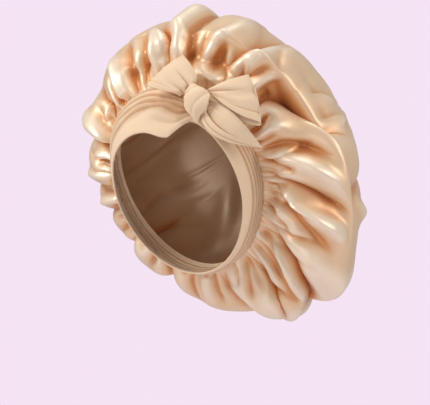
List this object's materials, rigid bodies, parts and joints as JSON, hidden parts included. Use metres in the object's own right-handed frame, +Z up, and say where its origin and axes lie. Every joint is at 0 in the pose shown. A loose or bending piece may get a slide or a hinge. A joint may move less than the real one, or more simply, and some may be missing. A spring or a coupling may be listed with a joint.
{
  "type": "sleep bonnet",
  "caption": "Very large gathered satin sleep bonnet with a wide pleated stretch band that is knotted in a half bow above the forehead.",
  "frame": {"origin": "middle of the head opening, where the wearer's head sits in the band", "axes": "+Z is up, the wearer faces -Y, and +X is the wearer's left"},
  "size_m": [0.3312, 0.2959, 0.3669],
  "materials": {
    "satin": "glossy champagne satin with soft folds",
    "jersey": "matte peach stretch jersey"
  },
  "bodies": {
    "root": {"crown": "satin", "headband": "jersey", "knot_core": "jersey", "knot_wrap": "jersey", "tie_wing": "jersey", "bow_loop": "jersey", "tie_tail": "jersey"}
  },
  "joints": []
}
